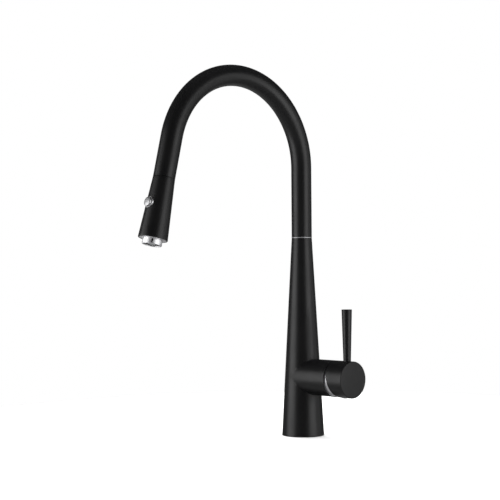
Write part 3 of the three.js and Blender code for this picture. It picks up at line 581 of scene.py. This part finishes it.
tenon_top = axis_z + math.sqrt(CAP_R ** 2 - LEVER_BASE_R ** 2) - LEVER_SINK
lever_rod = spun(
    "handle_lever",
    [
        (0, lever_low.z, 0),
        (TENON_R, lever_low.z, 0),
        (TENON_R, tenon_top, 0),
        (LEVER_BASE_R, tenon_top, 0),
        (LEVER_TOP_R, lever_high.z, 0.45 * MM),
        (0, lever_high.z, 0),
    ],
    Matrix.Translation((lever_x, 0, 0)),
    facets=96,
)
cup_skin = spun(
    "cup_skin",
    [
        (0, CAP_CEILING, 0),
        (CAP_R + 0.02 * MM, CAP_CEILING, 0),
        (CAP_R + 0.02 * MM, cap_end, 0),
        (0, cap_end, 0),
    ],
    along_barrel,
)
lever_tenon = spun(
    "lever_tenon",
    [
        (0, lever_low.z, 0),
        (TENON_R, lever_low.z, 0),
        (TENON_R, tenon_top + 2 * MM, 0),
        (0, tenon_top + 2 * MM, 0),
    ],
    Matrix.Translation((lever_x, 0, 0)),
    facets=48,
)
worked(lever_rod, [cup_skin])
worked(lever_rod, [lever_tenon], "UNION")
dressed(smooth(lever_rod), black_coat, "handle", ["lever"])

plug = spun(
    "index_plug_chrome",
    [
        (0, -(plug_high.z - axis_z), 0),
        (PLUG_R, -(plug_high.z - axis_z), 0),
        (PLUG_R, CAP_R + 0.1 * MM, 0.2 * MM),
        (0.74 * PLUG_R, axis_z - plug_low.z, 0.5 * MM),
        (0, axis_z - plug_low.z, 0),
    ],
    Matrix.Translation((plug_x, 0, axis_z)) @ Matrix.Rotation(math.pi, 4, "X"),
    facets=64,
)
dressed(smooth(plug), chrome, "handle", ["index_plug"])


# The neck: a brass nipple brazed into the spout turns in two acetal bushes, and a thin
# chromed ring, flush with the tube, shows between the spout and the body.
ring_bore = 9.5 * MM


def satin_chrome():
    """Satin chrome, bead blasted before plating: an even soft grey all round."""
    material, shader, place = surface("satin_chrome", (0.30, 0.30, 0.31), 0.6, 1.0)
    beads = grain(material, place, 0.3 * MM, 2)
    material.node_tree.links.new(between(material, beads, 0.56, 0.64), shader.inputs["Roughness"])
    raised(material, shader, beads, 0.002 * MM, 0.5)
    return material


swivel = spun(
    "swivel_ring_chrome",
    [
        (ring_bore, ring_low.z, 0),
        (neck_r, ring_low.z, 0.08 * MM),
        (neck_r, ring_high.z, 0.08 * MM),
        (ring_bore, ring_high.z, 0),
    ],
    ring=True,
)
dressed(smooth(swivel), satin_chrome(), "faucet_body", ["swivel_ring"])
covered("spout_nipple", brass)
for part in ("upper_swivel_bush", "lower_swivel_bush"):
    covered(part, white_plastic)


# The spout: one length of 25 mm brass tube, straight, bent to a tall arch past half a turn
# and straight again to the head. It is swept along its centre line and powder coated.
OUTLET_LEG = 49.1 * MM
TUBE_WALL = 1.2 * MM
BEND_STEPS = 150
seam = Vector(joints["head_spin"]["pos_m"])
outlet = Vector(joints["head_spin"]["axis"]).normalized()
sweep = math.acos(outlet.z)
bend_end = seam - outlet * OUTLET_LEG
bend_r = -bend_end.y / (1 - math.cos(sweep))
rise = bend_end.z - bend_r * math.sin(sweep)


def spout_line(start, finish):
    """The centre line from a height in the body up, over and down to a finishing point."""
    points = [Vector((0, 0, start + (rise - start) * k / 24)) for k in range(24)]
    for k in range(BEND_STEPS + 1):
        turn = sweep * k / BEND_STEPS
        points.append(Vector((0, -bend_r * (1 - math.cos(turn)), rise + bend_r * math.sin(turn))))
    steps = 14
    points += [bend_end.lerp(finish, k / steps) for k in range(1, steps + 1)]
    return points


def sweep_tree():
    """Nodes that sweep a round section along a curve and give it a material."""
    tree = bpy.data.node_groups.new("tube_along_line", "GeometryNodeTree")
    tree.interface.new_socket("Line", in_out="INPUT", socket_type="NodeSocketGeometry")
    tree.interface.new_socket("Radius", in_out="INPUT", socket_type="NodeSocketFloat")
    tree.interface.new_socket("Sides", in_out="INPUT", socket_type="NodeSocketInt")
    tree.interface.new_socket("Finish", in_out="INPUT", socket_type="NodeSocketMaterial")
    tree.interface.new_socket("Tube", in_out="OUTPUT", socket_type="NodeSocketGeometry")
    nodes, links = tree.nodes, tree.links
    given = nodes.new("NodeGroupInput")
    section = nodes.new("GeometryNodeCurvePrimitiveCircle")
    tube = nodes.new("GeometryNodeCurveToMesh")
    real = nodes.new("GeometryNodeRealizeInstances")
    paint = nodes.new("GeometryNodeSetMaterial")
    out = nodes.new("NodeGroupOutput")
    links.new(given.outputs["Radius"], section.inputs["Radius"])
    links.new(given.outputs["Sides"], section.inputs["Resolution"])
    links.new(given.outputs["Line"], tube.inputs["Curve"])
    links.new(section.outputs["Curve"], tube.inputs["Profile Curve"])
    links.new(tube.outputs["Mesh"], real.inputs["Geometry"])
    links.new(real.outputs["Geometry"], paint.inputs["Geometry"])
    links.new(given.outputs["Finish"], paint.inputs["Material"])
    links.new(paint.outputs["Geometry"], out.inputs["Tube"])
    return tree


def swept(name, points, radius, sides, material, wall=None):
    """A tube along a line of points; with a wall it is hollow and open at both ends."""
    curve = bpy.data.curves.new(name + "_line", "CURVE")
    curve.dimensions = "3D"
    spline = curve.splines.new("POLY")
    spline.points.add(len(points) - 1)
    for at, p in zip(spline.points, points):
        at.co = (*p, 1)
    line = bpy.data.objects.new(name, curve)
    scene.collection.objects.link(line)
    step = line.modifiers.new("sweep", "NODES")
    step.node_group = tube_tree
    sockets = {s.name: s.identifier for s in tube_tree.interface.items_tree if s.in_out == "INPUT"}
    step[sockets["Radius"]] = radius
    step[sockets["Sides"]] = sides
    step[sockets["Finish"]] = material
    evaluated = line.evaluated_get(bpy.context.evaluated_depsgraph_get())
    mesh = bpy.data.meshes.new_from_object(evaluated)
    bpy.data.objects.remove(line)
    piece = bpy.data.objects.new(name, mesh)
    scene.collection.objects.link(piece)
    shape = bmesh.new()
    shape.from_mesh(mesh)
    bmesh.ops.remove_doubles(shape, verts=shape.verts, dist=1e-7)
    if not wall:
        ends = [e for e in shape.edges if e.is_boundary]
        bmesh.ops.holes_fill(shape, edges=ends, sides=0)
    shape.faces.ensure_lookup_table()
    middle = shape.faces[len(shape.faces) // 2]
    centre = min(points, key=lambda p: (p - middle.calc_center_median()).length)
    if middle.normal.dot(middle.calc_center_median() - centre) < 0:
        bmesh.ops.reverse_faces(shape, faces=shape.faces)
    shape.to_mesh(mesh)
    shape.free()
    if wall:
        skin = piece.modifiers.new("wall", "SOLIDIFY")
        skin.thickness = wall
        skin.offset = -1
        settled(piece)
    return piece


tube_tree = sweep_tree()
tube_start = ring_high.z + 0.04 * MM
tube = swept(
    "spout_gooseneck",
    spout_line(tube_start, seam - outlet * 0.15 * MM),
    neck_r,
    96,
    black_coat,
    TUBE_WALL,
)
dressed(smooth(tube), black_coat, "spout", ["spout_tube"])


# The hose: a rubber core under a tight plait of black nylon, 12 mm across, running from the
# base up through the spout to the head. The last of it draws out as the head is pulled down.
HOSE_R = 6 * MM
HOSE_SIDES = 72
PLAIT_STRANDS = 12
PLAIT_LAY = 21 * MM
PLAIT_DEPTH = 0.28 * MM
HOSE_ROWS = 620
pull = joints["head_pull"]["range_m"][1]


def plaited_nylon():
    """Black nylon plait: each strand catches a little light along its crown."""
    material, shader, place = surface("plaited_nylon", (0.03, 0.03, 0.031), 0.5)
    strand = grain(material, place, 0.3 * MM, 3)
    two_tone(material, shader, strand, (0.02, 0.02, 0.021), (0.045, 0.045, 0.047))
    raised(material, shader, strand, 0.03 * MM, 0.7)
    return material


nylon = plaited_nylon()
covered("pullout_hose", nylon)


def along_outlet(node):
    """The lowest and highest place of a node along the outlet, measured from the seam."""
    places = [outlet.dot(v.co - seam) for v in frame["nodes"][node].data.vertices]
    return min(places), max(places)


hose_start, hose_stop = along_outlet("hose_end")
ferrule_start, ferrule_stop = along_outlet("hose_ferrule")
stretch_start, stretch_stop = hose_start, ferrule_start + 1 * MM
drawn = np.linspace(hose_start, hose_stop + pull, HOSE_ROWS)
trial = np.linspace(hose_start, hose_stop, 20001)
share = np.clip((trial - stretch_start) / (stretch_stop - stretch_start), 0, 1)
trial_drawn = trial + pull * share * share * (3 - 2 * share)
at_rest = np.interp(drawn, trial_drawn, trial)
front = Vector((0, outlet.z, -outlet.y))
hose_verts = []
for along, rest in zip(drawn, at_rest):
    for k in range(HOSE_SIDES):
        turn = 2 * math.pi * k / HOSE_SIDES
        left = math.sin(PLAIT_STRANDS / 2 * (turn + 2 * math.pi * along / PLAIT_LAY))
        right_hand = math.sin(PLAIT_STRANDS / 2 * (turn - 2 * math.pi * along / PLAIT_LAY))
        height = max(abs(left), abs(right_hand))
        r = HOSE_R - PLAIT_DEPTH * (1 - height)
        spoke = Vector((math.cos(turn), 0, 0)) + front * math.sin(turn)
        hose_verts.append(seam + outlet * float(rest) + spoke * r)
hose_faces = []
for j in range(HOSE_ROWS - 1):
    for k in range(HOSE_SIDES):
        n = (k + 1) % HOSE_SIDES
        a, b = j * HOSE_SIDES, (j + 1) * HOSE_SIDES
        hose_faces.append((a + k, a + n, b + n, b + k))
hose_faces.append(tuple(range(HOSE_SIDES))[::-1])
hose_faces.append(tuple((HOSE_ROWS - 1) * HOSE_SIDES + k for k in range(HOSE_SIDES)))
hose_mesh = bpy.data.meshes.new("drawn_hose")
hose_mesh.from_pydata(hose_verts, [], hose_faces)
hose = bpy.data.objects.new("drawn_hose", hose_mesh)
scene.collection.objects.link(hose)
shape = bmesh.new()
shape.from_mesh(hose_mesh)
bmesh.ops.recalc_face_normals(shape, faces=shape.faces)
shape.to_mesh(hose_mesh)
shape.free()
hose_mesh.materials.append(nylon)
hose_mesh.polygons.foreach_set("use_smooth", [True] * len(hose_mesh.polygons))
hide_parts("hose_end")
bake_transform(hose)


# The hose's end: a steel ferrule crimped round the plait and the brass swivel nut that turns
# in the head's neck. A moulded bush in the end of the spout guides the neck home.
at_head = Matrix((Vector((1, 0, 0)), front, outlet)).transposed().to_4x4()
at_head.translation = seam
FERRULE_R = 7.2 * MM
CRIMPS = 3
ferrule_length = ferrule_stop - ferrule_start
crimp_rows = []
for k in range(CRIMPS):
    middle = ferrule_start + ferrule_length * (k + 1) / (CRIMPS + 1)
    crimp_rows += [
        (FERRULE_R, middle - 1.4 * MM, 0.3 * MM),
        (FERRULE_R - 0.35 * MM, middle - 0.8 * MM, 0.3 * MM),
        (FERRULE_R - 0.35 * MM, middle + 0.8 * MM, 0.3 * MM),
        (FERRULE_R, middle + 1.4 * MM, 0.3 * MM),
    ]
ferrule = spun(
    "hose_ferrule_crimped",
    [
        (HOSE_R + 0.1 * MM, ferrule_start, 0.1 * MM),
        (FERRULE_R, ferrule_start, 0.3 * MM),
        *crimp_rows,
        (FERRULE_R, ferrule_stop, 0.3 * MM),
        (HOSE_R + 0.1 * MM, ferrule_stop, 0),
    ],
    at_head,
    facets=64,
    ring=True,
)
dressed(smooth(ferrule), steel, "hose_run", ["hose_ferrule"])
covered("hose_nut", brass)
BUSH_BORE_R = 9.4 * MM
BUSH_R = 11.1 * MM
bush_start, bush_stop = along_outlet("dock_bush")
bush = spun(
    "spout_dock_bush",
    [
        (BUSH_BORE_R, bush_start, 0.3 * MM),
        (BUSH_R, bush_start, 0),
        (BUSH_R, bush_stop, 0.2 * MM),
        (BUSH_BORE_R, bush_stop, 0.6 * MM),
    ],
    at_head,
    ring=True,
)
dressed(smooth(bush), grey_plastic, "spout", ["dock_bush"])


# The spray head's skin: a brass cone, a smooth run on from the tube, with a rounded rim and
# a round hole in front for the button. Powder coated with the spout.
HEAD_WALL = 2 * MM
HEAD_END_R = 16.8 * MM
RIM = 1.2 * MM
NECK_R = 9 * MM
BUTTON_AT = 31.6 * MM
HOLE_R = 6.45 * MM
head_length = along_outlet("head_shell")[1]
plate_start, plate_stop = along_outlet("end_plate")


def head_r(along):
    """The head's radius at a distance from the seam."""
    return neck_r + (HEAD_END_R - neck_r) * along / head_length


head_rows = [(head_r(head_length * k / 24), head_length * k / 24, 0) for k in range(1, 24)]
skin_start = 0.15 * MM
skin = spun(
    "spray_head_skin",
    [
        (NECK_R + 0.3 * MM, skin_start, 0),
        (head_r(skin_start), skin_start, 0.2 * MM),
        *head_rows,
        (HEAD_END_R, head_length, 0.9 * MM),
        (HEAD_END_R - RIM, head_length, 0.2 * MM),
        (HEAD_END_R - RIM, plate_start - 0.1 * MM, 0),
        (head_r(plate_start) - HEAD_WALL, plate_start - 0.1 * MM, 0),
        (head_r(HEAD_WALL) - HEAD_WALL, skin_start + HEAD_WALL, 0),
        (NECK_R + 0.3 * MM, skin_start + HEAD_WALL, 0),
    ],
    at_head,
    ring=True,
)
press = Vector(joints["button_press"]["axis"]).normalized()
button_seat = seam + outlet * BUTTON_AT + front * head_r(BUTTON_AT)
at_button = Matrix((Vector((1, 0, 0)), (-press).cross(Vector((1, 0, 0))), -press)).transposed().to_4x4()
at_button.translation = button_seat
hole = spun(
    "button_hole",
    [(0, -4.2 * MM, 0), (HOLE_R, -4.2 * MM, 0), (HOLE_R, 3 * MM, 0), (0, 3 * MM, 0)],
    at_button,
    facets=96,
)
worked(skin, [hole])
dressed(smooth(skin), black_coat, "spray_head", ["head_shell"])


# The water body inside the head: moulded acetal with the neck that slides up into the spout,
# the way to the button's diverter valve, and the chamber behind the outlets.
SOCKET_R = 6.8 * MM
SOCKET_END = 9.7 * MM
SHOULDER = 2.3 * MM
SHOULDER_R = 10.2 * MM
PASSAGE_R = 4 * MM
CHAMBER_START = 42.2 * MM
CHAMBER_R = 9 * MM
SEAL_LEDGE = 58.2 * MM
OUTLET_BORE_R = 11.6 * MM
core_start, core_stop = along_outlet("head_core")
core = spun(
    "head_water_body",
    [
        (SOCKET_R, core_start, 0.2 * MM),
        (NECK_R, core_start, 0.6 * MM),
        (NECK_R, SHOULDER, 0),
        (SHOULDER_R, SHOULDER, 0),
        (head_r(core_stop) - HEAD_WALL - 0.2 * MM, core_stop, 0),
        (OUTLET_BORE_R, core_stop, 0),
        (OUTLET_BORE_R, SEAL_LEDGE, 0),
        (CHAMBER_R, SEAL_LEDGE, 0),
        (CHAMBER_R, CHAMBER_START, 0),
        (PASSAGE_R, CHAMBER_START, 0),
        (PASSAGE_R, SOCKET_END, 0),
        (SOCKET_R, SOCKET_END, 0),
    ],
    at_head,
    ring=True,
)
pocket = spun(
    "button_pocket",
    [(0, -8 * MM, 0), (HOLE_R + 0.1 * MM, -8 * MM, 0), (HOLE_R + 0.1 * MM, 3 * MM, 0), (0, 3 * MM, 0)],
    at_button,
    facets=64,
)
spool_bore = spun(
    "spool_bore",
    [(0, -24 * MM, 0), (2.3 * MM, -24 * MM, 0), (2.3 * MM, 0, 0), (0, 0, 0)],
    at_button,
    facets=32,
)
worked(core, [pocket, spool_bore])
dressed(smooth(core), grey_plastic, "spray_head", ["head_core"])
covered("check_valve", grey_plastic)


# The spray button and its bezel: both turned and chromed. The bezel is pressed into the hole
# and the button, a low dome on a drum, slides in it against a coil spring.
BUTTON_R = 5.3 * MM
BUTTON_PROUD = 3.5 * MM
BUTTON_SHOULDER = 2.4 * MM
BUTTON_DEPTH = 3.2 * MM
button_chrome = chrome_plate("button_chrome", 0.34)
bezel = spun(
    "button_bezel_chrome",
    [
        (BUTTON_R + 0.25 * MM, -BUTTON_DEPTH, 0),
        (HOLE_R - 0.05 * MM, -BUTTON_DEPTH, 0),
        (HOLE_R - 0.05 * MM, 0.5 * MM, 0.3 * MM),
        (BUTTON_R + 0.25 * MM, 0.5 * MM, 0.25 * MM),
    ],
    at_button,
    facets=96,
    ring=True,
)
dressed(smooth(bezel), button_chrome, "spray_head", ["button_bezel"])
crown = []
for k in range(1, 15):
    turn = math.pi / 2 * k / 15
    rise = (BUTTON_PROUD - BUTTON_SHOULDER) * math.sin(turn)
    crown.append((BUTTON_R * math.cos(turn), BUTTON_SHOULDER + rise, 0))
button = spun(
    "spray_button_dome",
    [
        (0, -BUTTON_DEPTH, 0),
        (BUTTON_R, -BUTTON_DEPTH, 0),
        (BUTTON_R, BUTTON_SHOULDER, 0),
        *crown,
        (0, BUTTON_PROUD, 0),
    ],
    at_button,
    facets=96,
)
dressed(smooth(button), button_chrome, "button", ["spray_button"])

WIRE_R = 0.35 * MM
COIL_R = 3.25 * MM
COIL_TURNS = 3
COIL_STEPS = 144
COIL_LENGTH = 3.5 * MM
coil_top = -BUTTON_DEPTH - 0.3 * MM - WIRE_R
coil_foot = coil_top - COIL_LENGTH
coil_line = []
for k in range(COIL_STEPS + 1):
    turn = 2 * math.pi * COIL_TURNS * k / COIL_STEPS
    depth = coil_top + (coil_foot - coil_top) * k / COIL_STEPS
    coil_line.append(at_button @ Vector((COIL_R * math.cos(turn), COIL_R * math.sin(turn), depth)))
coil = swept("button_coil_spring", coil_line, WIRE_R, 16, steel)
dressed(smooth(coil), steel, "spray_head", ["button_spring"])
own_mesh(coil)


# The head's outlet end: a chromed plate set into the rim, and a chromed nose screwed through
# it with four key notches. Soft nozzles ring the stream insert inside the nose.
AERATOR_R = 11.2 * MM
AERATOR_BORE_R = 9.6 * MM
NOTCH_WIDTH = 1.8 * MM
NOTCH_HEIGHT = 4.8 * MM
NOTCH_LIP = 0.9 * MM
NOTCHES = 4
NOTCH_TURN = math.radians(38)
nose_start, nose_end = along_outlet("aerator_housing")
plate = spun(
    "outlet_end_plate",
    [
        (AERATOR_R + 0.1 * MM, plate_start, 0),
        (HEAD_END_R - RIM - 0.06 * MM, plate_start, 0),
        (HEAD_END_R - RIM - 0.06 * MM, plate_stop, 0.35 * MM),
        (AERATOR_R + 0.1 * MM, plate_stop, 0.1 * MM),
    ],
    at_head,
    ring=True,
)
dressed(smooth(plate), chrome, "spray_head", ["end_plate"])
nose = spun(
    "outlet_nose",
    [
        (AERATOR_BORE_R, nose_start, 0),
        (AERATOR_R, nose_start, 0),
        (AERATOR_R, nose_end, 0.6 * MM),
        (AERATOR_BORE_R, nose_end, 0.3 * MM),
    ],
    at_head,
    ring=True,
)
notches = []
notch_top = nose_end - NOTCH_LIP
for k in range(NOTCHES):
    turned = at_head @ Matrix.Rotation(NOTCH_TURN + 2 * math.pi * k / NOTCHES, 4, "Z")
    low = (AERATOR_BORE_R - over_run, -NOTCH_WIDTH / 2, notch_top - NOTCH_HEIGHT)
    high = (AERATOR_R + over_run, NOTCH_WIDTH / 2, notch_top)
    notches.append(block("notch", low, high, turned))
worked(nose, notches)
dressed(smooth(nose), chrome, "spray_head", ["aerator_housing"])

covered("stream_insert", grey_plastic)
covered("nozzle_disc", black_rubber)


# The studio: a pale floor in white air, a tall softbox at either side of the camera, a weak
# one past the handle and one overhead for the floor. Reflections see neither the floor nor
# the overhead box, only dim air that is dimmer above and brighter below.
FLOOR_R = 0.55
floor_shape = bmesh.new()
bmesh.ops.create_circle(floor_shape, cap_ends=True, segments=96, radius=FLOOR_R)
floor_mesh = bpy.data.meshes.new("studio_floor")
floor_shape.to_mesh(floor_mesh)
floor_shape.free()
floor = bpy.data.objects.new("studio_floor", floor_mesh)
scene.collection.objects.link(floor)
floor_paint, floor_shader, floor_place = surface("floor_paint", (0.88, 0.88, 0.88), 0.9)
floor_paint.node_tree.links.new(
    between(floor_paint, grain(floor_paint, floor_place, 0.3), 0.86, 0.94),
    floor_shader.inputs["Roughness"],
)
floor_mesh.materials.append(floor_paint)
floor.location.z = -0.2 * MM
floor.visible_glossy = False

world = bpy.data.worlds.new("studio_air")
scene.world = world
world.use_nodes = True
world_nodes, world_links = world.node_tree.nodes, world.node_tree.links
air = world_nodes["Background"]
air.inputs["Color"].default_value = (1, 1, 1, 1)
heading = world_nodes.new("ShaderNodeTexCoord").outputs["Generated"]
split = world_nodes.new("ShaderNodeSeparateXYZ")
world_links.new(heading, split.inputs[0])
fade = world_nodes.new("ShaderNodeMapRange")
fade.inputs["From Min"].default_value = -0.36
fade.inputs["From Max"].default_value = -0.16
fade.inputs["To Min"].default_value = 0.5
fade.inputs["To Max"].default_value = 0.14
world_links.new(split.outputs["Z"], fade.inputs["Value"])
dim = world_nodes.new("ShaderNodeMapRange")
dim.inputs["From Min"].default_value = 0.1
dim.inputs["From Max"].default_value = 0.4
dim.inputs["To Min"].default_value = 1.0
dim.inputs["To Max"].default_value = 0.35
world_links.new(split.outputs["Z"], dim.inputs["Value"])
level = world_nodes.new("ShaderNodeMath")
level.operation = "MULTIPLY"
world_links.new(fade.outputs["Result"], level.inputs[0])
world_links.new(dim.outputs["Result"], level.inputs[1])
world_links.new(level.outputs[0], air.inputs["Strength"])
sky = world_nodes.new("ShaderNodeBackground")
sky.inputs["Color"].default_value = (1, 1, 1, 1)
sky.inputs["Strength"].default_value = 1.0
rays = world_nodes.new("ShaderNodeLightPath")
choose = world_nodes.new("ShaderNodeMixShader")
world_links.new(rays.outputs["Is Camera Ray"], choose.inputs[0])
world_links.new(air.outputs[0], choose.inputs[1])
world_links.new(sky.outputs[0], choose.inputs[2])
world_links.new(choose.outputs[0], world_nodes["World Output"].inputs["Surface"])


def soft_box(name, bearing, height, distance, width, tall, power, aim_height=0.2):
    """A softbox at a bearing from the viewpoint's own, aimed at the faucet."""
    light = bpy.data.lights.new(name, "AREA")
    light.shape = "RECTANGLE"
    light.size = width
    light.size_y = tall
    light.energy = power
    box = bpy.data.objects.new(name, light)
    scene.collection.objects.link(box)
    angle = EYE_BEARING + math.radians(bearing)
    box.location = (distance * math.sin(angle), -distance * math.cos(angle), height)
    aim = Vector((0, -0.08, aim_height)) - box.location
    box.rotation_euler = aim.to_track_quat("-Z", "Y").to_euler()
    return box


soft_box("left_box", -72, 0.22, 1.3, 1.1, 1.1, 17)
soft_box("right_box", 57, 0.22, 1.3, 1.0, 1.1, 14)
soft_box("side_fill", 100, 0.22, 1.3, 0.6, 1.1, 1.8)
soft_box("floor_box", 180, 1.6, 0.3, 2.4, 2.4, 95, 0.0).visible_glossy = False
scene.view_settings.view_transform = "Standard"
